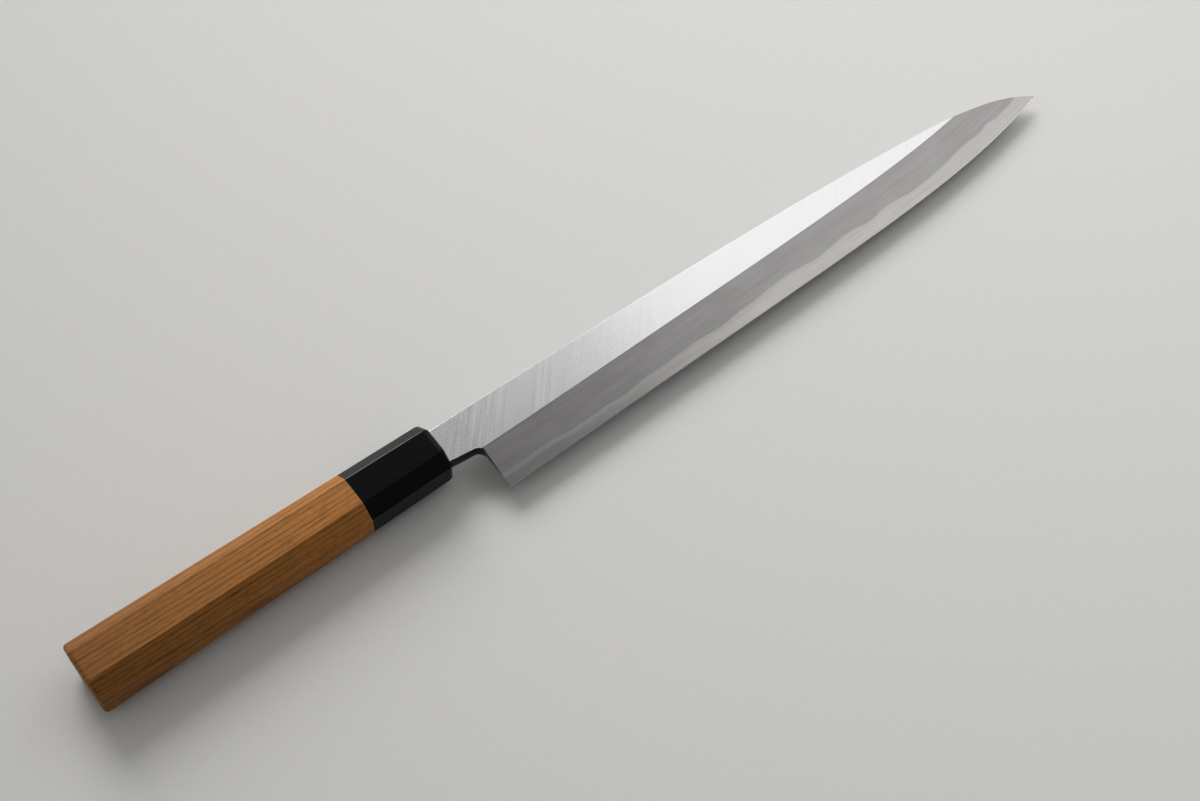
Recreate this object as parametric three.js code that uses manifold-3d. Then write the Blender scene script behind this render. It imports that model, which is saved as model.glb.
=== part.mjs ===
// Yanagiba: a long, slender single-bevel slicing knife with an octagonal wooden handle.
// Millimetres. Knife axes: +X from the handle to the tip, +Y towards the spine, +Z out of the bevelled
// face, with the origin on the handle's axis at the front of the ferrule.
import * as THREE from "three";
import { mergeVertices } from "three/addons/utils/BufferGeometryUtils.js";
import Module from "manifold-3d";

const wasm = await Module();
wasm.setup();

// Handle: an octagon that swells evenly from the ferrule's front to the butt
const HANDLE_LENGTH = 144; // ferrule and wood together
const FERRULE_LENGTH = 35;
const FRONT_WIDTH = 21.3; // spine to edge
const FRONT_THICKNESS = 19.1;
const FRONT_CORNER = 5.4; // leg of each 45 degree corner facet
const BUTT_WIDTH = 25.5;
const BUTT_THICKNESS = 21.8;
const BUTT_CORNER = 6.15;
const RIDGE_ROUND = 0.7; // softening of the eight ridges
const RIM_ROUND = 1.8; // round over of the ferrule's front
const BUTT_ROUND = 1.6; // round over of the wood's end
const GLUE_LINE = 0.05; // film between the ferrule and the wood

// Tenon of the wood inside the ferrule, and the clearance of every hidden fit
const TENON_DIAMETER = 14.4;
const TENON_LENGTH = 24;
const FIT_GAP = 0.3;

// Blade outline
const HEEL_X = 13; // the heel's face stands this far in front of the ferrule
const BLADE_LENGTH = 275; // heel to tip
const SPINE_Y = 7.1; // spine above the handle's axis
const SPINE_DROP = 6.2; // how far the spine has come down where its point begins
const SPINE_POWER = 3.3;
const POINT_LENGTH = 41; // the stretch at the tip where the spine turns down
const POINT_START_ANGLE = 11; // the spine's fall, in degrees, at both ends of that stretch
const POINT_END_ANGLE = 33;
const HEEL_Y = 26.5; // edge below the handle's axis at the heel
const EDGE_RISE = 4.15; // even rise of the edge over its length
const EDGE_SWEEP = 11.2; // further rise, which gathers at the tip
const EDGE_POWER = 6.7;

// Blade section
const NECK_THICKNESS = 5.2;
const HEEL_THICKNESS = 4.3; // start of the flat's even taper, under the neck's swell
const TIP_THICKNESS = 1.8; // what the flat's taper would reach at the tip
const NECK_FADE = 30; // the neck's extra thickness has gone this far in front of the heel
const BEVEL_AT_HEEL = 16.8; // edge to shinogi, the ridge between the flat and the bevel
const BEVEL_AT_TIP = 18.4;
const EDGE_LAND = 0.12;
const SPINE_BREAK = 0.4; // small chamfer along the spine
const STEEL_AT_HEEL = 1.4; // hard layer's thickness at the spine

// Hard steel bared on the bevel: each crest and hollow of its hand-forged border, as the distance in
// front of the heel and the height above the edge
const BORDER = [
  [0, 5.5],
  [21, 6.0],
  [35, 4.8],
  [47, 5.3],
  [54, 4.5],
  [67, 5.5],
  [88, 5.6],
  [102, 4.8],
  [134, 7.0],
  [152, 6.1],
  [166, 6.9],
  [180, 5.9],
  [188, 6.5],
  [204, 5.6],
  [234, 6.9],
  [243, 6.2],
  [252, 6.6],
  [268, 6.4],
];

// Hollow ground into the back, inside a flat rim
const HOLLOW_DEPTH = 0.35;
const EDGE_RIM = 1.2;
const SPINE_RIM = 2.2;
const HEEL_RIM = 4;
const TIP_RIM = 14;
const HOLLOW_RUN = 24; // length over which the hollow comes to its full depth

// Neck and tang
const NECK_Y = 7.7; // underside of the neck below the axis, at the ferrule
const NECK_SPREAD = 0.8; // how far the underside falls on its way to the heel
const CHOIL_ROUND = 3.2; // inside corner between the neck and the heel
const NECK_ROUND = 0.7; // softening of the neck's long edges
const NECK_INSET = 6; // length of full-height neck inside the ferrule
const SHOULDER = 3.5; // slope from the neck down to the tang
const TANG_LENGTH = 96; // from the ferrule's front to the tang's end
const TANG_HEIGHT = 10.4;
const TANG_THICKNESS = 4.6;
const TANG_END_HEIGHT = 6.2;
const TANG_END_THICKNESS = 3;
const TANG_ROUND = 0.5;
const MORTISE_SPARE = 2; // empty length past the tang's end

// Resin that closes the ferrule's mouth round the neck
const SEAL_WALL = 0.9;
const SEAL_DEPTH = 4;
const SEAL_RECESS = 0.5;
const SEAL_FILM = 0.05;

// Fineness of the faceted surfaces
const FLAT_STEPS = 70;
const POINT_STEPS = 9;
const TIP_STEPS = 6;
const HOLLOW_STEPS = 5;
const ROUND_STEPS = 4;
const TENON_SIDES = 40;
const MERGE = 1e-4; // corners closer than this are one
const CUT_PAST = 1; // how far a cutting shape stands out of what it cuts

const TIP_X = HEEL_X + BLADE_LENGTH;
const BACK_Z = -NECK_THICKNESS / 2; // the blade's flat back plane
const { lerp, degToRad, smoothstep } = THREE.MathUtils;

// Blade curves

function spineY(x) {
  const start = TIP_X - POINT_LENGTH;
  const fall = (at) => SPINE_DROP * (Math.max(at, 0) / start) ** SPINE_POWER;
  if (x <= start) return SPINE_Y - fall(x);
  const u = (x - start) / POINT_LENGTH;
  const startSlope = -Math.tan(degToRad(POINT_START_ANGLE)) * POINT_LENGTH;
  const endSlope = -Math.tan(degToRad(POINT_END_ANGLE)) * POINT_LENGTH;
  return (
    (2 * u ** 3 - 3 * u ** 2 + 1) * (SPINE_Y - SPINE_DROP) +
    (u ** 3 - 2 * u ** 2 + u) * startSlope +
    (3 * u ** 2 - 2 * u ** 3) * edgeY(TIP_X) +
    (u ** 3 - u ** 2) * endSlope
  );
}

function edgeY(x) {
  const s = (x - HEEL_X) / BLADE_LENGTH;
  return -HEEL_Y + EDGE_RISE * s + EDGE_SWEEP * s ** EDGE_POWER;
}

function thickness(x) {
  const taper = lerp(HEEL_THICKNESS, TIP_THICKNESS, Math.max(x - HEEL_X, 0) / BLADE_LENGTH);
  const swell = (NECK_THICKNESS - HEEL_THICKNESS) * (1 - smoothstep(x, 0, HEEL_X + NECK_FADE));
  return taper + swell;
}

function bevelWidth(x) {
  return lerp(BEVEL_AT_HEEL, BEVEL_AT_TIP, (x - HEEL_X) / BLADE_LENGTH);
}

// Height of the bared hard steel, easing from each crest to the next hollow.
function bandWidth(x) {
  const at = x - HEEL_X;
  const next = BORDER.findIndex(([distance]) => distance > at);
  if (next < 0) return BORDER.at(-1)[1];
  const [from, low] = BORDER[Math.max(next - 1, 0)];
  const [to, high] = BORDER[next];
  return lerp(low, high, smoothstep(at, from, to));
}

// The last place, coming from the heel, where the blade is still taller than the given width.
function lastTallerThan(width) {
  let inside = HEEL_X;
  let outside = TIP_X;
  while (outside - inside > MERGE) {
    const middle = (inside + outside) / 2;
    if (spineY(middle) - edgeY(middle) > width(middle)) inside = middle;
    else outside = middle;
  }
  return inside;
}

const BEVEL_END = lastTallerThan(bevelWidth); // here the shinogi runs out into the spine
const BORDER_END = lastTallerThan(bandWidth); // here the soft iron runs out into the spine

// Top of the spine above the back plane: the flat's thickness, then what the bevel leaves of it.
function spineZ(x) {
  if (x <= BEVEL_END) return thickness(x);
  const slope = (thickness(BEVEL_END) - EDGE_LAND) / bevelWidth(BEVEL_END);
  return EDGE_LAND + slope * (spineY(x) - edgeY(x));
}

function hollowDepth(x) {
  const start = HEEL_X + HEEL_RIM;
  const end = TIP_X - TIP_RIM;
  const opens = smoothstep(x, start, start + HOLLOW_RUN);
  const closes = smoothstep(x, end - HOLLOW_RUN, end);
  return HOLLOW_DEPTH * opens * (1 - closes);
}

// Rings of [y, z] points, anticlockwise seen from the tip

function at(y, z) {
  return [y, BACK_Z + z];
}

// The seam between the two metals: from the spine to the border on the bevel.
function weldPoints(x) {
  const edge = edgeY(x);
  const height = spineY(x) - edge;
  if (x >= BORDER_END) return [at(edge + height, spineZ(x)), at(edge + height, spineZ(x))];
  const along = (x - HEEL_X) / (BORDER_END - HEEL_X);
  const seamZ = lerp(STEEL_AT_HEEL, spineZ(BORDER_END), along);
  const bevel = Math.min(bevelWidth(x), height);
  const band = bandWidth(x);
  const borderZ = lerp(EDGE_LAND, spineZ(x), band / bevel);
  return [at(edge + height, seamZ), at(edge + band, borderZ)];
}

function ironRing(x) {
  const spine = spineY(x);
  const top = spineZ(x);
  const [seam, border] = weldPoints(x);
  if (x >= BEVEL_END) {
    const ridge = at(spine, top);
    return [seam, ridge, ridge, ridge, border];
  }
  const room = spine - edgeY(x) - bevelWidth(x);
  const chamfer = Math.min(SPINE_BREAK, room / 2);
  return [
    seam,
    at(spine, top - chamfer),
    at(spine - chamfer, top),
    at(edgeY(x) + bevelWidth(x), top),
    border,
  ];
}

function steelRing(x) {
  const spine = spineY(x);
  const edge = edgeY(x);
  const height = spine - edge;
  const [seam, border] = weldPoints(x);
  const chamfer = Math.min(SPINE_BREAK, seam[1] - BACK_Z, height) / 2;
  const rimLow = edge + Math.min(EDGE_RIM, height / 5);
  const rimHigh = spine - chamfer - Math.min(SPINE_RIM, height / 4);
  const ring = [at(spine, chamfer), seam, border, at(edge, EDGE_LAND), at(edge, 0)];
  for (let i = 0; i <= HOLLOW_STEPS; i++) {
    const u = i / HOLLOW_STEPS;
    ring.push(at(lerp(rimLow, rimHigh, u), 4 * u * (1 - u) * hollowDepth(x)));
  }
  ring.push(at(spine - chamfer, 0));
  return ring;
}

// A rectangle with rounded corners.
function plateRing(lowY, highY, lowZ, highZ, round) {
  const ring = [];
  for (let corner = 0; corner < 4; corner++) {
    const right = corner === 0 || corner === 3;
    const y = right ? highY - round : lowY + round;
    const z = corner < 2 ? highZ - round : lowZ + round;
    for (let i = 0; i < ROUND_STEPS; i++) {
      const angle = ((corner + i / (ROUND_STEPS - 1)) * Math.PI) / 2;
      ring.push([y + round * Math.cos(angle), z + round * Math.sin(angle)]);
    }
  }
  return ring;
}

// The handle's octagon at x, drawn in on every side by the inset.
function octagonRing(x, inset) {
  const u = -x / HANDLE_LENGTH;
  const halfWidth = lerp(FRONT_WIDTH, BUTT_WIDTH, u) / 2 - inset;
  const halfThickness = lerp(FRONT_THICKNESS, BUTT_THICKNESS, u) / 2 - inset;
  const leg = lerp(FRONT_CORNER, BUTT_CORNER, u) - inset * (2 - Math.SQRT2);
  const ring = [];
  for (let ridge = 0; ridge < 8; ridge++) {
    const bisector = ((ridge + 0.5) * Math.PI) / 4;
    const signY = Math.sign(Math.cos(bisector));
    const signZ = Math.sign(Math.sin(bisector));
    const onSide = ridge % 4 === 0 || ridge % 4 === 3;
    const y = signY * (onSide ? halfWidth : halfWidth - leg);
    const z = signZ * (onSide ? halfThickness - leg : halfThickness);
    const toCentre = RIDGE_ROUND / Math.cos(Math.PI / 8);
    const centreY = y - toCentre * Math.cos(bisector);
    const centreZ = z - toCentre * Math.sin(bisector);
    for (const turn of [-1, 0, 1]) {
      const angle = bisector + (turn * Math.PI) / 8;
      ring.push([centreY + RIDGE_ROUND * Math.cos(angle), centreZ + RIDGE_ROUND * Math.sin(angle)]);
    }
  }
  return ring;
}

// Solids

// A closed skin through a row of rings, each given as [x, ring]; the last may be a single point.
function loft(stations) {
  const triangles = [];
  const add = (...corners) => triangles.push(...corners.flat());
  const place = ([x, ring], i) => {
    const [y, z] = ring[i % ring.length];
    return [x, y, z];
  };
  for (let k = 0; k + 1 < stations.length; k++) {
    const count = stations[k][1].length;
    for (let i = 0; i < count; i++) {
      const a = place(stations[k], i);
      const b = place(stations[k], i + 1);
      const c = place(stations[k + 1], i + 1);
      const d = place(stations[k + 1], i);
      // The diagonal leaves the nearer ring at its point closer to the spine, so two skins that share
      // a strip fold it alike.
      if (a[1] >= b[1]) add(a, b, c, a, c, d);
      else add(a, b, d, b, c, d);
    }
  }
  const cap = (station, towardsButt) => {
    const outline = station[1].map(([y, z]) => new THREE.Vector2(y, z));
    for (const face of THREE.ShapeUtils.triangulateShape(outline, [])) {
      const corners = face.map((i) => place(station, i));
      add(...(towardsButt ? corners.reverse() : corners));
    }
  };
  cap(stations[0], true);
  cap(stations.at(-1), false);
  return closedGeometry(triangles);
}

// Shared corners merged and collapsed triangles dropped.
function closedGeometry(coordinates) {
  const soup = new THREE.BufferGeometry();
  soup.setAttribute("position", new THREE.Float32BufferAttribute(coordinates, 3));
  const merged = mergeVertices(soup, MERGE);
  const kept = [];
  const index = merged.index.array;
  for (let i = 0; i < index.length; i += 3) {
    const [a, b, c] = index.slice(i, i + 3);
    if (a !== b && b !== c && c !== a) kept.push(a, b, c);
  }
  merged.setIndex(kept);
  return merged;
}

function solid(geometry) {
  const plain = geometry.clone();
  plain.deleteAttribute("normal");
  plain.deleteAttribute("uv");
  const merged = mergeVertices(plain, MERGE);
  return new wasm.Manifold(
    new wasm.Mesh({
      numProp: 3,
      vertProperties: merged.attributes.position.array,
      triVerts: new Uint32Array(merged.index.array),
    }),
  );
}

function geometryOf(body) {
  const mesh = body.getMesh();
  const geometry = new THREE.BufferGeometry();
  geometry.setAttribute("position", new THREE.BufferAttribute(mesh.vertProperties, 3));
  geometry.setIndex(new THREE.BufferAttribute(mesh.triVerts, 1));
  return geometry;
}

// A plain round bar along X.
function bar(diameter, fromX, toX) {
  const geometry = new THREE.CylinderGeometry(diameter / 2, diameter / 2, toX - fromX, TENON_SIDES);
  geometry.rotateZ(-Math.PI / 2);
  geometry.translate((fromX + toX) / 2, 0, 0);
  return geometry;
}

function evenly(from, to, steps) {
  return Array.from({ length: steps }, (_, i) => lerp(from, to, i / steps));
}

// Quarter-round edge: [distance in from the end face, inset] pairs, from the face inwards.
function roundOver(radius) {
  return Array.from({ length: ROUND_STEPS + 1 }, (_, i) => {
    const angle = ((i / ROUND_STEPS) * Math.PI) / 2;
    return [radius * (1 - Math.cos(angle)), radius * (1 - Math.sin(angle))];
  });
}

// Neck and tang, each an upright plate inside the ferrule and the wood

function neckUnderside(x) {
  const fall = (NECK_SPREAD * Math.max(x, 0)) / (HEEL_X - CHOIL_ROUND);
  const arc = Math.max(x - (HEEL_X - CHOIL_ROUND), 0);
  if (arc === 0) return -NECK_Y - fall;
  return -NECK_Y - NECK_SPREAD - CHOIL_ROUND + Math.sqrt(CHOIL_ROUND ** 2 - arc ** 2);
}

function neckRing(x, grow) {
  const round = lerp(NECK_ROUND, SPINE_BREAK, Math.max(x, 0) / HEEL_X) + grow;
  const top = BACK_Z + thickness(x);
  return plateRing(neckUnderside(x) - grow, spineY(x) + grow, BACK_Z - grow, top + grow, round);
}

function tangRing(x, grow) {
  const front = -NECK_INSET - SHOULDER;
  const u = (front - x) / (TANG_LENGTH + front);
  const height = lerp(TANG_HEIGHT, TANG_END_HEIGHT, u) / 2 + grow;
  const half = lerp(TANG_THICKNESS, TANG_END_THICKNESS, u) / 2 + grow;
  return plateRing(-height, height, -half, half, TANG_ROUND + grow);
}

// The neck passes into the blade as a short root, clear of the hard layer.
function rootRing() {
  const low = edgeY(HEEL_X) + bevelWidth(HEEL_X);
  const top = thickness(HEEL_X);
  const root = (top - STEEL_AT_HEEL) / 4;
  const [seam] = weldPoints(HEEL_X);
  return plateRing(low + root, spineY(HEEL_X) - root, seam[1] + root, BACK_Z + top - root, root / 2);
}

function neckAndTang() {
  const arcStart = HEEL_X - CHOIL_ROUND;
  const stations = [
    [-TANG_LENGTH, tangRing(-TANG_LENGTH, 0)],
    [-NECK_INSET - SHOULDER, tangRing(-NECK_INSET - SHOULDER, 0)],
    [-NECK_INSET, neckRing(-NECK_INSET, 0)],
    ...evenly(0, arcStart, ROUND_STEPS).map((x) => [x, neckRing(x, 0)]),
  ];
  for (let i = 0; i <= 2 * ROUND_STEPS; i++) {
    const x = arcStart + CHOIL_ROUND * Math.sin(((i / ROUND_STEPS) * Math.PI) / 4);
    stations.push([x, neckRing(x, 0)]);
  }
  const root = rootRing();
  stations.push([HEEL_X, root], [HEEL_X + CHOIL_ROUND, root]);
  return loft(stations);
}

// What the bevel takes off the choil's round corner, just behind the heel.
function bevelCut() {
  const edge = edgeY(HEEL_X);
  const shinogi = edge + bevelWidth(HEEL_X);
  const top = thickness(HEEL_X);
  const clear = top + NECK_THICKNESS;
  const ring = [at(shinogi, top), at(shinogi, clear), at(edge, clear), at(edge, EDGE_LAND)];
  return loft([
    [HEEL_X - CHOIL_ROUND, ring],
    [HEEL_X + CHOIL_ROUND, ring],
  ]);
}

// Soft iron: the blade's face above the border, the neck and the tang, forged as one.
function softIronBody() {
  const stations = [
    ...evenly(HEEL_X, BEVEL_END, FLAT_STEPS),
    ...evenly(BEVEL_END, BORDER_END, POINT_STEPS),
    BORDER_END,
  ];
  const face = loft(stations.map((x) => [x, ironRing(x)]));
  const neck = solid(neckAndTang()).subtract(solid(bevelCut()));
  return geometryOf(neck.add(solid(face)));
}

// Hard steel: the layer welded under the soft iron, bared along the edge and over the hollow back.
function hardSteelEdge() {
  const stations = [
    ...evenly(HEEL_X, BEVEL_END, FLAT_STEPS),
    ...evenly(BEVEL_END, BORDER_END, POINT_STEPS),
    ...evenly(BORDER_END, TIP_X, TIP_STEPS),
  ];
  const rings = stations.map((x) => [x, steelRing(x)]);
  const tip = steelRing(TIP_X).map(() => at(edgeY(TIP_X), 0));
  return loft([...rings, [TIP_X, tip]]);
}

function ferrule() {
  const rim = roundOver(RIM_ROUND).map(([in_, inset]) => [-in_, octagonRing(-in_, inset)]);
  const shell = loft([[-FERRULE_LENGTH, octagonRing(-FERRULE_LENGTH, 0)], ...rim.reverse()]);
  const socketEnd = TENON_LENGTH - FERRULE_LENGTH + FIT_GAP;
  const socket = bar(TENON_DIAMETER + 2 * FIT_GAP, -FERRULE_LENGTH - CUT_PAST, socketEnd);
  const mouth = neckRing(-SEAL_DEPTH, SEAL_WALL);
  const slot = loft([
    [socketEnd - CUT_PAST, mouth],
    [CUT_PAST, mouth],
  ]);
  return geometryOf(solid(shell).subtract(solid(socket)).subtract(solid(slot)));
}

function handleBody() {
  const seam = -FERRULE_LENGTH - GLUE_LINE;
  const butt = roundOver(BUTT_ROUND).map(([in_, inset]) => {
    const x = -HANDLE_LENGTH + in_;
    return [x, octagonRing(x, inset)];
  });
  const outside = loft([...butt, [seam, octagonRing(seam, 0)]]);
  const tenonEnd = TENON_LENGTH - FERRULE_LENGTH;
  const tenon = bar(TENON_DIAMETER, seam - BUTT_ROUND, tenonEnd);
  const bottom = -TANG_LENGTH - MORTISE_SPARE;
  const mouth = tenonEnd + CUT_PAST;
  const mortise = loft([
    [bottom, tangRing(-TANG_LENGTH, FIT_GAP)],
    [-TANG_LENGTH, tangRing(-TANG_LENGTH, FIT_GAP)],
    [mouth, tangRing(mouth, FIT_GAP)],
  ]);
  return geometryOf(solid(outside).add(solid(tenon)).subtract(solid(mortise)));
}

// A collar of resin between the neck and the ferrule's mouth.
function mouthSeal() {
  const block = (from, to, grow) => {
    const ring = neckRing(-SEAL_DEPTH, grow);
    return solid(
      loft([
        [from, ring],
        [to, ring],
      ]),
    );
  };
  const outside = block(-SEAL_DEPTH, -SEAL_RECESS, SEAL_WALL - SEAL_FILM);
  return geometryOf(outside.subtract(block(-SEAL_DEPTH - CUT_PAST, CUT_PAST, SEAL_FILM)));
}

// Assembly

function subPart(name, geometry, color, roughness, metalness) {
  geometry.computeVertexNormals();
  const mesh = new THREE.Mesh(geometry, new THREE.MeshStandardMaterial({ color, roughness, metalness }));
  mesh.name = name;
  return mesh;
}

const knife = new THREE.Group();
knife.add(
  subPart("soft_iron_body", softIronBody(), 0xb9bcbf, 0.35, 1),
  subPart("hard_steel_edge", hardSteelEdge(), 0xc9cacb, 0.28, 1),
  subPart("ferrule", ferrule(), 0x101012, 0.25, 0),
  subPart("handle_body", handleBody(), 0xa87442, 0.55, 0),
  subPart("mouth_seal", mouthSeal(), 0x2a211b, 0.6, 0),
);

// The knife lies on the lower facet of its handle, with the part's origin under the middle of the wood.
const restX = -(FERRULE_LENGTH + HANDLE_LENGTH) / 2;
const restHalf = lerp(FRONT_THICKNESS, BUTT_THICKNESS, -restX / HANDLE_LENGTH) / 2;
const lying = new THREE.Group();
knife.position.set(-restX, 0, restHalf);
lying.rotation.y = Math.atan2((BUTT_THICKNESS - FRONT_THICKNESS) / 2, HANDLE_LENGTH);
lying.add(knife);
const part = new THREE.Group();
part.add(lying);

export default part;
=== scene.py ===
# %% [markdown]
# # A yanagiba, dressed piece by piece
# The knife is a long single-bevel slicer: a blade of soft iron backed with hard steel, a black ferrule
# and a tapered octagonal wooden handle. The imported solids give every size. Here each piece is made again
# with finer curves and gets the finish that its maker gave it.

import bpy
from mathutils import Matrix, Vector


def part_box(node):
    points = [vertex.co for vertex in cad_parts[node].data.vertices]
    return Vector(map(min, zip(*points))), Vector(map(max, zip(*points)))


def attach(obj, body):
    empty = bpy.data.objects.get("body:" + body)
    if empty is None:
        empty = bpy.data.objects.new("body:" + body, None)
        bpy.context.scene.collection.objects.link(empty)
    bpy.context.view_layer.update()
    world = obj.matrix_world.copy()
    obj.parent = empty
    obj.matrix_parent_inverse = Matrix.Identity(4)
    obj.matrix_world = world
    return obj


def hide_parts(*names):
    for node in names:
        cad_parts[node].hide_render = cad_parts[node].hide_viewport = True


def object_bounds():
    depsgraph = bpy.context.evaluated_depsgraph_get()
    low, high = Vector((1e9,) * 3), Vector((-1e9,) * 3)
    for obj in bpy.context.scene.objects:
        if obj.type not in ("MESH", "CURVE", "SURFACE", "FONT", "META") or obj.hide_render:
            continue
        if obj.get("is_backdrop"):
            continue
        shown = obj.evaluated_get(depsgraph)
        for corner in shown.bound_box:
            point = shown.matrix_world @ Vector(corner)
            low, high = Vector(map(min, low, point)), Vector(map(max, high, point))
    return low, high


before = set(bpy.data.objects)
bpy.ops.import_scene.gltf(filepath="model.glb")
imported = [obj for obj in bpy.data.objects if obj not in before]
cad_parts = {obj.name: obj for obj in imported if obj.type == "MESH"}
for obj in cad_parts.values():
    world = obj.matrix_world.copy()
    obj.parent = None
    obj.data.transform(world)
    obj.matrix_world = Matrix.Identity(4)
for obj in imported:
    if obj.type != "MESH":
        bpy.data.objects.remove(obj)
cad_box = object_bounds()
print("solids:", ", ".join(sorted(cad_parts)))

# %% [markdown]
# ## How the knife lies
# A maker measures a knife from its handle: x runs from the handle to the tip, y up to the spine, z out of
# the bevelled face, in millimetres from the middle of the ferrule's front. The library's frame is in
# metres, with the knife lying on the lower facet of its handle. One matrix carries every finished mesh from
# the first to the second, so each piece can be written in the maker's own numbers.

# %% From the maker's axes to the frame
import math

import bmesh
import bpy
import numpy as np
from mathutils import Matrix, Vector

MM = 0.001
HANDLE_LENGTH, FERRULE_LENGTH = 144.0, 35.0  # the first includes the second
FRONT = {"width": 21.3, "thickness": 19.1, "corner": 5.4}  # octagon at the ferrule's front
BUTT = {"width": 25.5, "thickness": 21.8, "corner": 6.15}  # and at the far end


def octagon_at(x):
    """The handle's octagon at a distance x from the ferrule's front (x is negative)."""
    share = -x / HANDLE_LENGTH
    return {side: FRONT[side] + (BUTT[side] - FRONT[side]) * share for side in FRONT}


wood_middle = -(FERRULE_LENGTH + HANDLE_LENGTH) / 2  # the frame's origin lies under it
lean = math.atan2((BUTT["thickness"] - FRONT["thickness"]) / 2, HANDLE_LENGTH)
LAY = (
    Matrix.Scale(MM, 4)
    @ Matrix.Rotation(lean, 4, "Y")
    @ Matrix.Translation((-wood_middle, 0, octagon_at(wood_middle)["thickness"] / 2))
)
print(f"the handle's facet leans {math.degrees(lean):.2f} degrees to its axis")

# %% [markdown]
# ## The blade's lines
# Four lines and a thickness draw a yanagiba: the spine, the edge, the ridge between the flat and the bevel
# (shinogi), and the border where the hard steel comes out of the soft iron, with a thickness that falls
# evenly to the tip. They could be curves placed by eye. As plain functions of x they stay true to the
# solids and can be sampled as finely as a mesh needs.

# %% Edge and spine
HEEL_X, TIP_X = 13.0, 288.0
BLADE_LENGTH = TIP_X - HEEL_X
HEEL_Y, EDGE_RISE = -26.5, 4.15  # the edge starts low at the heel and rises evenly
EDGE_SWEEP, EDGE_POWER = 11.2, 6.7  # and sweeps up further towards the tip
SPINE_Y, SPINE_DROP, SPINE_POWER = 7.1, 6.2, 3.3  # the spine at the neck, and its long slow fall
POINT_LENGTH, POINT_DEGREES = 41.0, (11, 33)  # its turn down to the tip, and the slopes at both ends


def edge_line(x):
    s = np.maximum(np.asarray(x, float) - HEEL_X, 0) / BLADE_LENGTH
    return HEEL_Y + EDGE_RISE * s + EDGE_SWEEP * s**EDGE_POWER


def spine_line(x):
    """A long slow fall, then a convex turn down to the point."""
    x = np.asarray(x, float)
    start = TIP_X - POINT_LENGTH
    slow = SPINE_Y - SPINE_DROP * (np.maximum(x, 0) / start) ** SPINE_POWER
    u = np.clip((x - start) / POINT_LENGTH, 0, 1)
    leaves, arrives = (-math.tan(math.radians(a)) * POINT_LENGTH for a in POINT_DEGREES)
    turn = (
        (2 * u**3 - 3 * u**2 + 1) * (SPINE_Y - SPINE_DROP)
        + (u**3 - 2 * u**2 + u) * leaves
        + (3 * u**2 - 2 * u**3) * edge_line(TIP_X)
        + (u**3 - u**2) * arrives
    )
    return np.where(x <= start, slow, turn)


print(f"blade {BLADE_LENGTH:.0f} mm, tip at y {float(edge_line(TIP_X)):.1f} mm")

# %% Thickness
NECK_THICKNESS = 5.2
HEEL_THICKNESS, TIP_THICKNESS = 4.3, 1.8  # the blade's even taper, without the neck's swell
SWELL_END = 70.0  # that swell has run out here
BACK = -NECK_THICKNESS / 2  # the flat back's plane


def flat_thickness(x):
    x = np.asarray(x, float)
    taper = np.maximum(x - HEEL_X, 0) / BLADE_LENGTH
    swell = (NECK_THICKNESS - HEEL_THICKNESS) * (1 - np.clip(x / SWELL_END, 0, 1)) ** 2
    return HEEL_THICKNESS + (TIP_THICKNESS - HEEL_THICKNESS) * taper + swell


measured = [round(float(flat_thickness(x)), 1) for x in (0, HEEL_X, TIP_X)]
print("thickness at neck and heel, and towards the tip:", measured)

# %% Bevel and border
BEVEL_AT_HEEL, BEVEL_GAIN = 16.8, 1.6  # the bevel's width, and how much it has gained by the tip
# Crests and hollows of the forged border: distance in front of the heel, height above the edge.
BORDER = np.array([
    (0, 5.5), (21, 6.0), (35, 4.8), (47, 5.3), (54, 4.5), (67, 5.5), (88, 5.6), (102, 4.8), (134, 7.0),
    (152, 6.1), (166, 6.9), (180, 5.9), (188, 6.5), (204, 5.6), (234, 6.9), (243, 6.2), (252, 6.6),
    (268, 6.4),
])


def bevel_width(x):
    return BEVEL_AT_HEEL + BEVEL_GAIN * (np.asarray(x, float) - HEEL_X) / BLADE_LENGTH


def ease(x, low, high):
    """0 before low, 1 after high, and a smooth rise between them."""
    t = np.clip((np.asarray(x, float) - low) / (high - low), 0, 1)
    return t * t * (3 - 2 * t)


def band_width(x):
    """Height of the bared hard steel, easing from each crest to the next hollow."""
    at, high = BORDER.T
    along = np.asarray(x, float) - HEEL_X
    i = np.clip(np.searchsorted(at, along, "right") - 1, 0, len(at) - 2)
    return high[i] + (high[i + 1] - high[i]) * ease((along - at[i]) / (at[i + 1] - at[i]), 0, 1)


at_heel = [float(width(HEEL_X)) for width in (bevel_width, band_width)]
print("mm of bevel and of bare steel at the heel:", at_heel)

# %% Where they run out
HALVINGS = 40  # narrows the length of the blade to far less than a micron


def runs_out(width):
    """Where a strip of that width reaches the spine, near the tip."""
    inside, outside = HEEL_X, TIP_X
    for _ in range(HALVINGS):
        middle = (inside + outside) / 2
        if spine_line(middle) - edge_line(middle) > width(middle):
            inside = middle
        else:
            outside = middle
    return inside


BEVEL_END, BORDER_END = runs_out(bevel_width), runs_out(band_width)
print(f"the ridge meets the spine at {BEVEL_END:.1f} mm, the border at {BORDER_END:.1f} mm")

# %% Where the lines stand in the blade's thickness
EDGE_LAND = 0.12  # the bevel runs down to this thickness
STEEL_AT_HEEL = 1.4  # thickness of the steel layer on the spine, at the heel
TINY = 1e-9  # keeps a division from meeting zero


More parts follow.
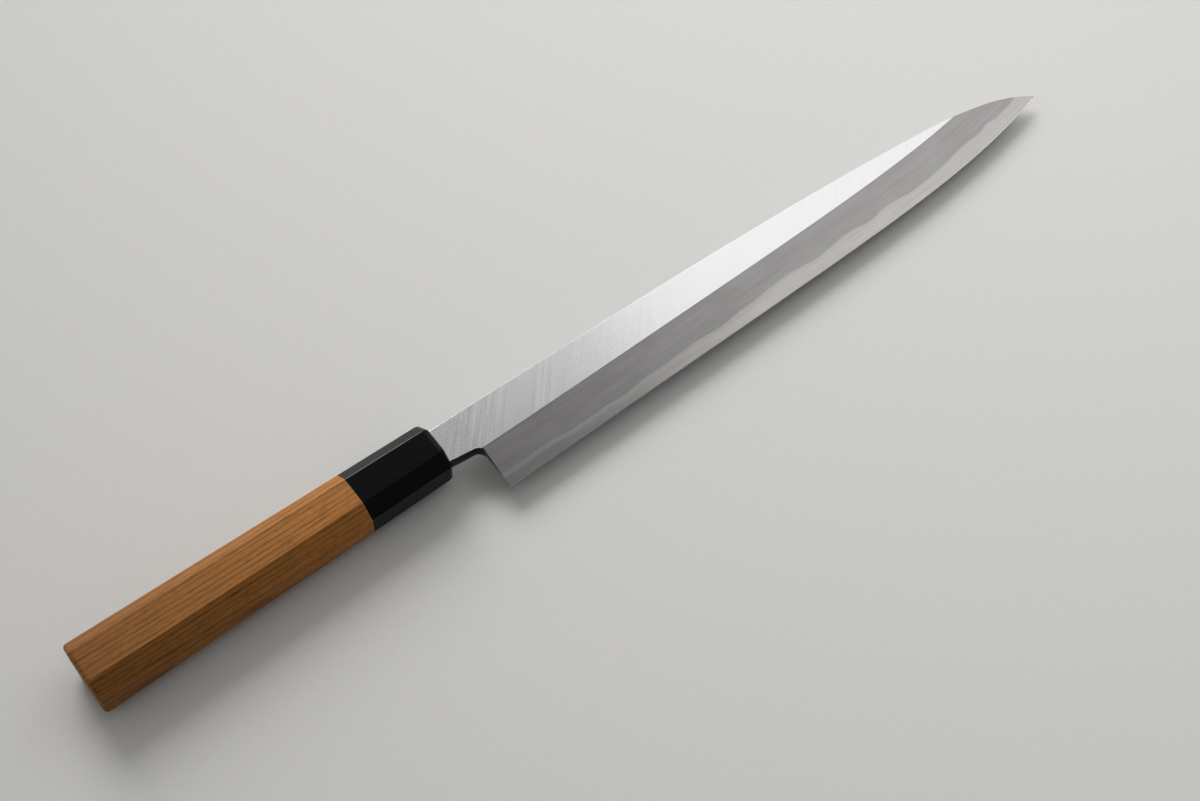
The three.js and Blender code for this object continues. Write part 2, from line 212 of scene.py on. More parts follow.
def blade_lines(x):
    """Heights y and thicknesses z (above the back) of the lines at stations x."""
    edge, spine = edge_line(x), spine_line(x)
    bevel = np.minimum(bevel_width(x), spine - edge)
    band = np.minimum(band_width(x), spine - edge)
    end_slope = (flat_thickness(BEVEL_END) - EDGE_LAND) / bevel_width(BEVEL_END)
    top = np.where(x < BEVEL_END, flat_thickness(x), EDGE_LAND + end_slope * (spine - edge))
    end_top = EDGE_LAND + end_slope * (spine_line(BORDER_END) - edge_line(BORDER_END))
    seam = STEEL_AT_HEEL + (end_top - STEEL_AT_HEEL) * (x - HEEL_X) / (BORDER_END - HEEL_X)
    return {
        "edge": edge,
        "spine": spine,
        "ridge": edge + bevel,
        "border": edge + band,
        "top": top,
        "seam": np.minimum(seam, top),
        "border_z": EDGE_LAND + (top - EDGE_LAND) * band / np.maximum(bevel, TINY),
    }


blade_stations = np.concatenate([
    np.linspace(HEEL_X, BEVEL_END, 221)[:-1],  # a little over a millimetre apart
    np.linspace(BEVEL_END, BORDER_END, 41),
])
tip_stations = TIP_X - (TIP_X - BORDER_END) * np.linspace(1, 0, 19)[1:] ** 1.5  # closer towards the point
print(len(blade_stations) + len(tip_stations), "stations along the blade")

# %% [markdown]
# ## Skins from rings
# The blade is a row of cross-sections, each a ring of points, with a skin stretched over them. Boolean
# solids would do too, but rings give long clean strips of quads that follow the blade. Every strip between
# two columns of points is one ground surface, so a strip's number says which finish it wears, and the
# shading breaks sharply only where two finishes meet or where the metal really turns a corner.

# %% Rings and rounded corners
ROUND_STEPS = 4  # points on a rounded corner


def ring_points(x, columns):
    """Stacks columns of (y, z) arrays, z above the back, into an array of rings."""
    wide = [np.broadcast_arrays(x, y, np.asarray(z, float) + BACK) for y, z in columns]
    return np.stack([np.stack(column, -1) for column in wide], 1)


def quarter(y, z, turn_y, turn_z, radius):
    """A quarter-round corner at (y, z) as columns; the turns say where its centre lies."""
    centre_y, centre_z = y + turn_y * radius, z + turn_z * radius
    angles = np.linspace(0, math.pi / 2, ROUND_STEPS)
    return [
        (centre_y - turn_y * radius * math.cos(a), centre_z - turn_z * radius * math.sin(a)) for a in angles
    ]


print("a corner rounded by 1 mm:", [(round(y, 2), round(z, 2)) for y, z in quarter(0, 0, -1, -1, 1)])

# %% Stretch a skin and close it
WELD_GAP = 1e-4  # mm; points closer than this become one
SHARP_TURN = math.radians(50)  # an edge that turns further stays sharp


def stretch_skin(skin, rings, zones):
    """Quads between neighbouring rings; zones gives each strip's finish."""
    corners = [[skin.verts.new(p) for p in ring] for ring in rings]
    count = rings.shape[1]
    for near, far in zip(corners, corners[1:]):
        for i in range(count):
            j = (i + 1) % count
            skin.faces.new((near[i], near[j], far[j], far[i])).material_index = zones[i]
    return corners


def close_skin(skin, name, finishes):
    """Welds the skin, turns its faces outwards, marks its sharp lines and makes it an object."""
    bmesh.ops.remove_doubles(skin, verts=skin.verts, dist=WELD_GAP)
    bmesh.ops.dissolve_degenerate(skin, edges=skin.edges, dist=WELD_GAP / 10)
    bmesh.ops.recalc_face_normals(skin, faces=skin.faces)
    for face in skin.faces:
        face.smooth = True
    for edge in skin.edges:
        finish_changes = len({f.material_index for f in edge.link_faces}) > 1
        edge.smooth = not (finish_changes or edge.calc_face_angle(0) > SHARP_TURN)
    open_edges = sum(not e.is_manifold for e in skin.edges)
    mesh = bpy.data.meshes.new(name)
    skin.to_mesh(mesh)
    skin.free()
    piece = bpy.data.objects.new(name, mesh)
    bpy.context.scene.collection.objects.link(piece)
    for finish in finishes:
        mesh.materials.append(finish)
    print(f"{name}: {len(mesh.polygons)} faces, {open_edges} open edges")
    return piece


print(f"edges that turn by more than {math.degrees(SHARP_TURN):.0f} degrees stay sharp")

# %% [markdown]
# ## Finishes: one helper
# Every finish is a small tree of nodes. Colours are written as they look on a screen (sRGB) and turned to
# the linear values that a renderer works with. Sizes in a Mapping of the kind TEXTURE are the real size of
# a pattern: it turns the point first and then divides by the scale. Most patterns here are noise, drawn out
# along the way that a tool or the grain ran.


# %% Colour and node helpers
def linear(hex_colour):
    """An sRGB hex colour as linear red, green, blue and alpha."""
    parts = [int(hex_colour[i : i + 2], 16) / 255 for i in (1, 3, 5)]
    return [c / 12.92 if c <= 0.04045 else ((c + 0.055) / 1.055) ** 2.4 for c in parts] + [1.0]


def add(tree, kind, inputs=(), **settings):
    """Adds a node with its settings, and links or fills its inputs.

    The inputs are a list in the order of the sockets that the settings leave in use, or a dict by name. A
    node given as an input stands for its first output in use.
    """
    node = tree.nodes.new(kind)
    for name, value in settings.items():
        setattr(node, name, value)
    sockets = [s for s in node.inputs if s.enabled]
    if isinstance(inputs, dict):
        sockets = [next(s for s in sockets if s.name == name) for name in inputs]
        inputs = inputs.values()
    for socket, value in zip(sockets, inputs):
        if isinstance(value, bpy.types.Node):
            value = next(s for s in value.outputs if s.enabled)
        if isinstance(value, bpy.types.NodeSocket):
            tree.links.new(value, socket)
        else:
            socket.default_value = value
    return node


def new_finish(name):
    """A new material and its emptied tree of nodes."""
    finish = bpy.data.materials.new(name)
    finish.use_nodes = True
    finish.node_tree.nodes.clear()
    return finish, finish.node_tree


print("middle grey on a screen is", round(linear("#808080")[0], 3), "in linear light")

# %% [markdown]
# ## The flat: satin-ground soft iron
# The flat of the blade is drawn across a stone at a slant, which leaves fine straight lines at a little less
# than 50 degrees to the edge. They scatter the light into a soft, even sheen. Real lines are about 0.05 mm
# apart, too fine to show, so they are drawn about twenty times as coarse. They show most near the heel and
# fade towards the tip, where the eye takes in the sheen alone. A wave would give lines too, but it repeats
# too evenly.

# %% Satin-ground iron
NOISE_LOW, NOISE_HIGH = 0.3, 0.7  # nearly all of a noise lies between these
STONE_PASSES = ((48, 34, 0.95), (46, 70, 2.4))  # degrees, run and gap (mm) of the lines and of broad strokes
LINES_FADE, LINES_LEFT = (0.115, 0.165), 0.25  # the lines fade between these x (m) to this share


def satin_ground_iron():
    # The eye sees a bright, even satin with faint slanting lines.
    finish, tree = new_finish("soft_iron_satin_ground")
    spot = add(tree, "ShaderNodeTexCoord").outputs["Object"]
    passes = []
    for degrees, run, gap in STONE_PASSES:
        drawn = add(tree, "ShaderNodeMapping", {
            "Vector": spot, "Rotation": (0, 0, math.radians(degrees)), "Scale": (run * MM, gap * MM, 1),
        }, vector_type="TEXTURE")
        passes.append(add(tree, "ShaderNodeTexNoise", {"Vector": drawn, "Scale": 1, "Detail": 1}))
    both = add(tree, "ShaderNodeMix", [0.18, *passes])
    forward = add(tree, "ShaderNodeSeparateXYZ", [spot]).outputs["X"]
    low, high = (
        add(tree, "ShaderNodeMapRange", [forward, *LINES_FADE, end, 0.5 + LINES_LEFT * (end - 0.5)])
        for end in (0, 1)
    )
    spread = add(tree, "ShaderNodeMapRange", [both, NOISE_LOW, NOISE_HIGH, low, high])
    tone = add(tree, "ShaderNodeMix", [spread, linear("#bfbfc1"), linear("#cecdce")], data_type="RGBA")
    sheen = add(tree, "ShaderNodeMapRange", [spread, 0, 1, 0.236, 0.242])
    metal = add(tree, "ShaderNodeBsdfPrincipled", {"Base Color": tone, "Metallic": 1, "Roughness": sheen})
    add(tree, "ShaderNodeOutputMaterial", {"Surface": metal})
    return finish


iron_satin = satin_ground_iron()
print("finish:", iron_satin.name)

# %% [markdown]
# ## The bevel: mist over two metals
# The bevel is rubbed with a paste of natural stone. It leaves the soft iron a dull, cloudy grey and the
# hard steel lighter, with a pale line of mist where they meet (kasumi). Both metals are ground as one
# surface, so both wear this finish: it reads how far a point lies over the border, over the edge and under
# the ridge, in millimetres, from the mesh itself. The streaks then follow the edge round its curve to the
# tip. Real streaks are finer than a tenth of a millimetre and are drawn coarser, so that they show.

# %% Where the mist lies
MIST_NOISES = ((40, 0.7, 2), (16, 5, 3), (3.5, 2.2, 2))  # run, width (mm), detail of streaks, clouds, ripple
BORDER_RIPPLE = 0.2  # mm that the mist's line wavers to each side
IRON_FROM, HAZE_FROM = (-0.75, 0.15), (-2.6, -0.6)  # mm over the border between which each sets in


def mist_over_border(tree):
    """How far a point shows iron, haze and cloudy veil, each from 0 to 1, and the streaks."""
    along, over_edge, over_border = (
        add(tree, "ShaderNodeAttribute", attribute_name=name).outputs["Fac"]
        for name in ("along", "over_edge", "over_border")
    )
    spot = add(tree, "ShaderNodeCombineXYZ", [along, over_edge])
    patterns = []
    for run, width, detail in MIST_NOISES:
        laid = add(tree, "ShaderNodeMapping", {
            "Vector": spot, "Scale": (run, width, 1),
        }, vector_type="TEXTURE")
        patterns.append(add(tree, "ShaderNodeTexNoise", {"Vector": laid, "Scale": 1, "Detail": detail}))
    streaks, clouds, ripple = patterns
    swing = add(tree, "ShaderNodeMapRange", [ripple, 0, 1, -BORDER_RIPPLE, BORDER_RIPPLE])
    line = add(tree, "ShaderNodeMath", [over_border, swing], operation="ADD")
    in_iron, haze = (
        add(tree, "ShaderNodeMapRange", [line, *sets_in], interpolation_type="SMOOTHSTEP")
        for sets_in in (IRON_FROM, HAZE_FROM)
    )
    patches = add(tree, "ShaderNodeMix", [0.45, streaks, clouds])
    veil = add(tree, "ShaderNodeMapRange", [patches, NOISE_LOW, NOISE_HIGH])
    return in_iron, haze, veil, streaks


print("patterns of the mist, along and across the edge:", MIST_NOISES)

# %% Misted bevel
RIDGE_SHADE = 0.9  # mm under the ridge over which the iron is painted a little darker, a thin painted shade


def misted_bevel(name):
    # The eye sees dull cloudy iron, lighter steel below it and a pale line of mist between them.
    finish, tree = new_finish(name)
    in_iron, haze, veil, streaks = mist_over_border(tree)
    iron, steel = (
        add(tree, "ShaderNodeMix", [veil, linear(dark), linear(light)], data_type="RGBA")
        for dark, light in (("#83807f", "#929090"), ("#989593", "#a6a3a1"))
    )
    under_ridge = add(tree, "ShaderNodeAttribute", attribute_name="under_ridge").outputs["Fac"]
    # painted shade: a thin darker line just under the ridge
    shade = add(tree, "ShaderNodeMapRange", [under_ridge, 0, RIDGE_SHADE, 0.9, 1])
    shaded = add(tree, "ShaderNodeMix", [1, iron, shade], data_type="RGBA", blend_type="MULTIPLY")
    misted = add(tree, "ShaderNodeMix", [haze, steel, linear("#9e9e9d")], data_type="RGBA")
    tone = add(tree, "ShaderNodeMix", [in_iron, misted, shaded], data_type="RGBA")
    hazed = add(tree, "ShaderNodeMapRange", [haze, 0, 1, 0.25, 0.34])
    dull = add(tree, "ShaderNodeMix", [in_iron, hazed, 0.36])
    relief = add(tree, "ShaderNodeBump", {"Height": streaks, "Strength": 0.04, "Distance": 0.03 * MM})
    metal = add(tree, "ShaderNodeBsdfPrincipled", {
        "Base Color": tone, "Metallic": 1, "Roughness": dull, "Normal": relief,
    })
    add(tree, "ShaderNodeOutputMaterial", {"Surface": metal})
    return finish


iron_mist, steel_mist = misted_bevel("soft_iron_misted"), misted_bevel("hard_steel_misted")
print("finishes:", iron_mist.name, steel_mist.name)

# %% [markdown]
# ## Spine, choil and back: lengthwise polish
# The narrow faces are drawn along a finer stone, and the flat rim of the back and the cutting edge are
# honed last of all, so they are the brightest. The hollow of the back keeps the lines of the wheel that
# ground it. The notch under the neck and the heel's face are painted dark, a painted shade. One function
# makes all five; only colour, roughness and the gap between lines change. The lines are drawn coarser than
# real ones, so that they show.

# %% Lengthwise polished metal
POLISH_RUN = 45  # mm that one line runs
POLISHES = {  # darkest and lightest colour, smoothest and roughest, gap between lines in mm
    "soft_iron_polished_spine": ("#a9abad", "#b9bbbd", 0.22, 0.30, 0.35),
    # the notch under the neck and the heel's face: painted shade, dark as they look under the neck
    "soft_iron_choil_painted_shade": ("#2c2a29", "#3a3836", 0.26, 0.36, 0.5),
    "hard_steel_polished_spine": ("#b2b3b4", "#c2c3c4", 0.20, 0.27, 0.35),
    "hard_steel_honed": ("#b4b5b6", "#c4c5c6", 0.16, 0.22, 0.25),
    "hard_steel_hollow_ground": ("#a6a8aa", "#bcbec0", 0.30, 0.40, 0.8),
}


def lengthwise_polish(name, dark, light, smooth, rough, gap):
    # The eye sees a smooth metal that breaks its highlights into fine lines along the blade.
    finish, tree = new_finish(name)
    spot = add(tree, "ShaderNodeTexCoord").outputs["Object"]
    drawn = add(tree, "ShaderNodeMapping", {
        "Vector": spot, "Scale": (POLISH_RUN * MM, gap * MM, gap * MM),
    }, vector_type="TEXTURE")
    lines = add(tree, "ShaderNodeTexNoise", {"Vector": drawn, "Scale": 1, "Detail": 2})
    spread = add(tree, "ShaderNodeMapRange", [lines, NOISE_LOW, NOISE_HIGH])
    tone = add(tree, "ShaderNodeMix", [spread, linear(dark), linear(light)], data_type="RGBA")
    sheen = add(tree, "ShaderNodeMapRange", [spread, 0, 1, smooth, rough])
    relief = add(tree, "ShaderNodeBump", {"Height": lines, "Strength": 0.1, "Distance": 0.02 * MM})
    metal = add(tree, "ShaderNodeBsdfPrincipled", {
        "Base Color": tone, "Metallic": 1, "Roughness": sheen, "Normal": relief,
    })
    add(tree, "ShaderNodeOutputMaterial", {"Surface": metal})
    return finish


iron_polished, iron_painted_shade, steel_polished, steel_honed, steel_hollow = (
    lengthwise_polish(name, *look) for name, look in POLISHES.items()
)
print("finishes:", ", ".join(POLISHES))

# %% [markdown]
# ## The soft-iron body
# Face, neck and tang are forged from one bar. Two skins make it: rings of the neck and tang up to the heel,
# and rings of the face from there on. They share every point of the heel's plane that they both touch, so
# welding makes them one closed body with a rounded notch (the choil) where the neck meets the heel.

# %% Face of the blade
SPINE_BREAK = 0.1  # the spine's front corner is rounded by this much
NECK_Y, NECK_SPREAD = 7.7, 0.8  # the neck reaches this far down, and widens by this to the choil
CHOIL_ROUND = 3.2
SATIN, MIST, POLISH, PAINTED_DARK = range(4)  # places in the iron's list of finishes
heel = blade_lines(np.array(HEEL_X))
choil_y = -NECK_Y - NECK_SPREAD - CHOIL_ROUND  # where the notch reaches the heel's face
bevel_share = (heel["ridge"] - choil_y) / (heel["ridge"] - heel["border"])  # and where that lies on the bevel
weld_share = (choil_y - heel["border"]) / (heel["spine"] - heel["border"])  # and on the weld


def weld_columns(lines):
    """The weld between the metals: border, a middle point, and the seam on the spine."""
    middle_y = lines["border"] + weld_share * (lines["spine"] - lines["border"])
    middle_z = lines["border_z"] + weld_share * (lines["seam"] - lines["border_z"])
    return [(lines["border"], lines["border_z"]), (middle_y, middle_z), (lines["spine"], lines["seam"])]


def face_rings(x):
    lines = blade_lines(x)
    border, weld, seam = weld_columns(lines)
    corner = np.minimum(SPINE_BREAK, np.maximum(lines["spine"] - lines["ridge"], 0) / 2)
    rounded = quarter(lines["spine"], lines["top"], -1, -1, corner)
    on_flat = ((lines["spine"] - corner + lines["ridge"]) / 2, lines["top"])
    on_bevel = (
        lines["ridge"] + bevel_share * (lines["border"] - lines["ridge"]),
        lines["top"] + bevel_share * (lines["border_z"] - lines["top"]),
    )
    return ring_points(x, [seam, *rounded, on_flat, (lines["ridge"], lines["top"]), on_bevel, border, weld])


face_zones = [POLISH] * ROUND_STEPS + [SATIN] * 2 + [MIST] * 2 + [POLISH] * 2
face = face_rings(blade_stations)
print("face:", face.shape[0], "rings of", face.shape[1], "points")

# %% An upright plate
bevel_slope = (heel["top"] - heel["border_z"]) / (heel["ridge"] - heel["border"])


def plate_rings(x, low, high, thick, back, fronts, backs, undercut):
    """Rings of an upright plate from low to high, with its four long corners rounded.

    Its lower front corner follows the bevel where it comes down that far. The rounds are given for the two
    front corners (lower, upper) and for the back ones, and undercut is the share of the lower face that
    lies behind the weld.
    """
    ridge = np.maximum(heel["ridge"], low + fronts[0])
    lower = back + thick - np.maximum(heel["ridge"] - low, 0) * bevel_slope
    seam = back + thick * heel["seam"] / heel["top"]
    weld = back + (lower - back) * undercut
    columns = [
        (high, seam),
        *quarter(high, back + thick, -1, -1, fronts[1]),
        ((high - fronts[1] + ridge) / 2, back + thick),
        (ridge, back + thick),
        *quarter(low, lower, 1, -1, fronts[0])[::-1],
        (low, weld),
        *quarter(low, back, 1, 1, backs),
        ((high + low) / 2, back),
        *quarter(high, back, -1, 1, backs)[::-1],
    ]
    return ring_points(x, columns)


print(f"the bevel falls {float(bevel_slope):.2f} mm for each millimetre at the heel")

# %% Neck, choil and tang
NECK_START = -6.0  # inside the ferrule
NECK_ROUND, NECK_LOW_ROUND, NECK_BACK_ROUND = 0.25, 0.45, 0.5  # corners at the ferrule: upper, lower, back
TANG_X = np.array([-96.0, -9.5])
TANG_HALF_HEIGHT, TANG_THICKNESS, TANG_ROUND = np.array([3.1, 5.2]), np.array([3.0, 4.6]), 0.5


def neck_underside(x):
    fall = NECK_SPREAD * np.maximum(x, 0) / (HEEL_X - CHOIL_ROUND)
    into_choil = np.clip(x - (HEEL_X - CHOIL_ROUND), 0, CHOIL_ROUND)
    arc = CHOIL_ROUND - np.sqrt(CHOIL_ROUND**2 - into_choil**2)
    return -NECK_Y - np.where(into_choil > 0, NECK_SPREAD, fall) - arc


choil_corner_z = heel["top"] - (heel["ridge"] - choil_y) * bevel_slope
weld_at_choil = heel["border_z"] + weld_share * (heel["seam"] - heel["border_z"])
undercut = weld_at_choil / choil_corner_z
neck_x = np.concatenate([
    np.linspace(NECK_START, HEEL_X - CHOIL_ROUND, 24)[:-1],
    HEEL_X - CHOIL_ROUND * (1 - np.sin(np.linspace(0, math.pi / 2, 17))),
])
to_heel = np.clip(neck_x / HEEL_X, 0, 1)
neck = plate_rings(
    neck_x, neck_underside(neck_x), spine_line(neck_x), flat_thickness(neck_x), back=0.0,
    fronts=(NECK_LOW_ROUND * (1 - to_heel), NECK_ROUND + (SPINE_BREAK - NECK_ROUND) * to_heel),
    backs=NECK_BACK_ROUND * (1 - to_heel), undercut=undercut,
)
tang = plate_rings(
    TANG_X, -TANG_HALF_HEIGHT, TANG_HALF_HEIGHT, TANG_THICKNESS, back=-BACK - TANG_THICKNESS / 2,
    fronts=(TANG_ROUND, TANG_ROUND), backs=TANG_ROUND, undercut=undercut,
)
print(f"choil meets the heel at y {choil_y:.1f} mm")

# %% Join face, neck and tang
iron_skin = bmesh.new()
face_corners = stretch_skin(iron_skin, face, face_zones)
underside = 2 * ROUND_STEPS + 1  # strips of the neck's lower side, painted dark as painted shade
body_zones = [POLISH] * ROUND_STEPS + [SATIN] * 2 + [PAINTED_DARK] * underside
body_zones += [POLISH] * (neck.shape[1] - len(body_zones))
body_corners = stretch_skin(iron_skin, np.concatenate([tang, neck]), body_zones)
border, weld = ROUND_STEPS + 4, ROUND_STEPS + 5  # columns of the face
under_weld = 2 * ROUND_STEPS + 3  # column of the neck where the steel begins
first, last = face_corners[0], body_corners[-1]
iron_skin.faces.new([first[border - 1], first[border], first[weld]]).material_index = PAINTED_DARK  # heel's face, painted dark as painted shade
iron_skin.faces.new([last[0], *last[under_weld:]]).material_index = POLISH  # against the steel
iron_skin.faces.new(body_corners[0]).material_index = POLISH  # end of the tang
iron_body = close_skin(iron_skin, "iron_blade_body", [iron_satin, iron_mist, iron_polished, iron_painted_shade])

# %% [markdown]
# ## The hard-steel edge
# The steel lies along the whole back of the blade and comes out as a band below the iron. Its back is
# ground hollow between flat rims, so that only the rims touch the stone. A last narrow facet, honed
# steeper than the bevel, makes the cutting edge itself: it is what catches the light as a thin line.

# %% Steel rings
HONED_FACET, EDGE_BLUNT = 0.28, 0.04
EDGE_RIM, SPINE_RIM, HOLLOW_DEPTH, HOLLOW_STEPS = 1.2, 2.2, 0.35, 12
HOLLOW_FROM, HOLLOW_TO, HOLLOW_RUN = HEEL_X + 4, TIP_X - 14, 24  # its ends, and the run to its full depth


def hollow_depth(x):
    deepens = ease(x, HOLLOW_FROM, HOLLOW_FROM + HOLLOW_RUN)
    return HOLLOW_DEPTH * deepens * (1 - ease(x, HOLLOW_TO - HOLLOW_RUN, HOLLOW_TO))


def steel_rings(x):
    lines = blade_lines(x)
    border, weld, seam = weld_columns(lines)
    edge, spine = lines["edge"], lines["spine"]
    height = spine - edge
    corner = np.minimum(np.minimum(SPINE_BREAK, lines["seam"]), height) / 2
    facet = np.minimum(HONED_FACET, height / 4)
    facet_z = EDGE_LAND + (lines["border_z"] - EDGE_LAND) * facet / np.maximum(lines["border"] - edge, TINY)
    low = edge + np.minimum(EDGE_RIM, height / 5)
    high = spine - corner - np.minimum(SPINE_RIM, height / 4)
    hollow = [
        (low + (high - low) * u, 4 * u * (1 - u) * hollow_depth(x))
        for u in np.linspace(0, 1, HOLLOW_STEPS + 1)
    ]
    columns = [
        *quarter(spine, 0 * x, -1, 1, corner)[::-1],
        seam,
        weld,
        border,
        (edge + facet, facet_z),
        (edge, np.minimum(EDGE_BLUNT, height / 8)),
        (edge, 0 * x),
        *hollow,
    ]
    return ring_points(x, columns)


steel = steel_rings(np.concatenate([blade_stations, tip_stations[:-1]]))
print("steel:", steel.shape[0], "rings of", steel.shape[1], "points")

# %% Skin the steel
BAND, HONED, HOLLOW, STEEL_SPINE = range(4)  # places in the steel's list of finishes
steel_zones = [STEEL_SPINE] * (ROUND_STEPS + 2) + [BAND] + [HONED] * 3 + [HOLLOW] * HOLLOW_STEPS + [HONED]
point = np.full((1, steel.shape[1], 3), (TIP_X, float(edge_line(TIP_X)), BACK + EDGE_BLUNT / 2))
steel_skin = bmesh.new()
steel_corners = stretch_skin(steel_skin, np.concatenate([steel, point]), steel_zones)
steel_skin.faces.new(steel_corners[0]).material_index = STEEL_SPINE
steel_finishes = [steel_mist, steel_honed, steel_hollow, steel_polished]
steel_edge = close_skin(steel_skin, "steel_cutting_edge", steel_finishes)

# %% [markdown]
# The misted finish reads four measures from the blade. They are written to both meshes as attributes, in
# millimetres, while the points still stand in the maker's axes. The mist doesn't keep to the weld exactly:
# the paste pulls it a few tenths of a millimetre up or down, so its line has strays of its own.

# %% Measures for the misted finish
# How far the mist strays above the weld (mm), by the distance x from the handle.
STRAYS = np.array([
    (13, 0), (42, -0.4), (48, 0.1), (56, -0.3), (66, -0.1), (90, -0.2), (107, 0.4), (114, 0.2), (125, 0.8),
    (133, 0), (150, 0.3), (171, -0.1), (186, 0.4), (191, -0.2), (206, 0.4), (213, -0.1), (234, -0.5),
    (250, 0.1), (258, 0.1), (261, 0.6), (267, -0.6), (276, -0.5), (283, 0),
])


def write_measures(piece):
    """Writes the four measures to every point, and gives the least and greatest of each."""
    points = np.array([v.co for v in piece.data.vertices])
    x, y = points[:, 0], points[:, 1]
    edge = edge_line(x)
    measures = {
        "along": x,
        "over_edge": y - edge,
        "over_border": y - edge - band_width(x) - np.interp(x, *STRAYS.T),
        "under_ridge": edge + bevel_width(x) - y,
    }
    for name, values in measures.items():
        written = piece.data.attributes.new(name, "FLOAT", "POINT")
        written.data.foreach_set("value", values.astype(np.float32))
    return {name: (round(float(v.min()), 1), round(float(v.max()), 1)) for name, v in measures.items()}


print("iron", write_measures(iron_body))
print("steel", write_measures(steel_edge))

# %% [markdown]
# ## Octagon stock
# Ferrule and wood are planed as one bar, an octagon that swells evenly to the butt, so one Geometry Nodes
# tree makes both from their own sizes. It starts from an eight-sided bar and moves its points: those of the
# side facets out to the full width, those of the upper and lower facets in by the corner. It also writes
# how much each edge is to be rounded, for a Bevel modifier. A loft in Python would do, but here the sizes
# stay as named inputs that can be played with.

# %% Geometry Nodes tree for the bar
STOCK_SIZES = (
    "Front x", "Length", "Front width", "Front thickness", "Front corner", "Back width", "Back thickness",
    "Back corner", "Front round", "Back round", "Ridge round",
)
stock = bpy.data.node_groups.new("octagon_stock", "GeometryNodeTree")
stock.interface.new_socket("Bar", in_out="OUTPUT", socket_type="NodeSocketGeometry")
for size in STOCK_SIZES:
    stock.interface.new_socket(size, in_out="INPUT", socket_type="NodeSocketFloat")
stock.interface.new_socket("Finish", in_out="INPUT", socket_type="NodeSocketMaterial")
given = add(stock, "NodeGroupInput").outputs
bar = add(stock, "GeometryNodeMeshCylinder", {"Vertices": 8, "Radius": 1.0, "Depth": 1.0})
turned = add(stock, "GeometryNodeTransform", {"Geometry": bar, "Rotation": (0, 0, math.pi / 8)})
corner_at = add(stock, "ShaderNodeSeparateXYZ", [add(stock, "GeometryNodeInputPosition")]).outputs
from_front = add(stock, "ShaderNodeMath", [0.5, corner_at["Z"]], operation="SUBTRACT")
print("octagon stock:", len(STOCK_SIZES), "sizes, and a bar of 8 sides")

# %% Move its corners
half = {}
for side, parts in (("width", 2), ("thickness", 2), ("corner", 1)):
    full = add(stock, "ShaderNodeMix", [from_front, given[f"Front {side}"], given[f"Back {side}"]])
    half[side] = add(stock, "ShaderNodeMath", [full, parts], operation="DIVIDE")
reach = {axis: add(stock, "ShaderNodeMath", [corner_at[axis]], operation="ABSOLUTE") for axis in "XY"}
placed = []
for axis, side, other in (("X", "width", "Y"), ("Y", "thickness", "X")):
    drawn_in = add(stock, "ShaderNodeMath", [reach[other], reach[axis]], operation="GREATER_THAN")
    less = add(stock, "ShaderNodeMath", [drawn_in, half["corner"]], operation="MULTIPLY")
    out = add(stock, "ShaderNodeMath", [half[side], less], operation="SUBTRACT")
    sign = add(stock, "ShaderNodeMath", [corner_at[axis]], operation="SIGN")
    placed.append(add(stock, "ShaderNodeMath", [out, sign], operation="MULTIPLY"))
back_by = add(stock, "ShaderNodeMath", [from_front, given["Length"]], operation="MULTIPLY")
x_at = add(stock, "ShaderNodeMath", [given["Front x"], back_by], operation="SUBTRACT")
moved_to = add(stock, "ShaderNodeCombineXYZ", [x_at, *placed])
planed = add(stock, "GeometryNodeSetPosition", {"Geometry": turned, "Position": moved_to})
print("octagon stock:", len(stock.nodes), "nodes so far")

# %% Rounding of its edges
WIDEST_ROUND = 2.4  # the Bevel modifier's width; each edge takes a share of it
SAME_X = 0.01  # mm; points closer than this in x lie on one end
ends = add(stock, "GeometryNodeInputMeshEdgeVertices").outputs
x_of = [add(stock, "ShaderNodeSeparateXYZ", [ends[f"Position {i}"]]).outputs["X"] for i in (1, 2)]
step = add(stock, "ShaderNodeMath", x_of, operation="SUBTRACT")
reach_along = add(stock, "ShaderNodeMath", [step], operation="ABSOLUTE")
is_ridge = add(stock, "ShaderNodeMath", [reach_along, SAME_X], operation="GREATER_THAN")
behind_front = add(stock, "ShaderNodeMath", [given["Front x"], x_of[0]], operation="SUBTRACT")
at_back = add(stock, "ShaderNodeMath", [behind_front, SAME_X], operation="GREATER_THAN")
rim = add(stock, "ShaderNodeMix", [at_back, given["Front round"], given["Back round"]])
rounding = add(stock, "ShaderNodeMix", [is_ridge, rim, given["Ridge round"]])
weight = add(stock, "ShaderNodeMath", [rounding, WIDEST_ROUND], operation="DIVIDE")
noted = add(stock, "GeometryNodeStoreNamedAttribute", {
    "Geometry": planed, "Name": "bevel_weight_edge", "Value": weight,
}, domain="EDGE")
real = add(stock, "GeometryNodeRealizeInstances", {"Geometry": noted})
dressed = add(stock, "GeometryNodeSetMaterial", {"Geometry": real, "Material": given["Finish"]})
add(stock, "NodeGroupOutput", [dressed])
print("octagon stock:", len(stock.nodes), "nodes")

# %% Plane a bar
RIDGE_ROUND, ROUND_SEGMENTS = 0.7, 6
ridge_set_back = RIDGE_ROUND * math.tan(math.pi / 8)  # what that round takes off a ridge of 45 degrees


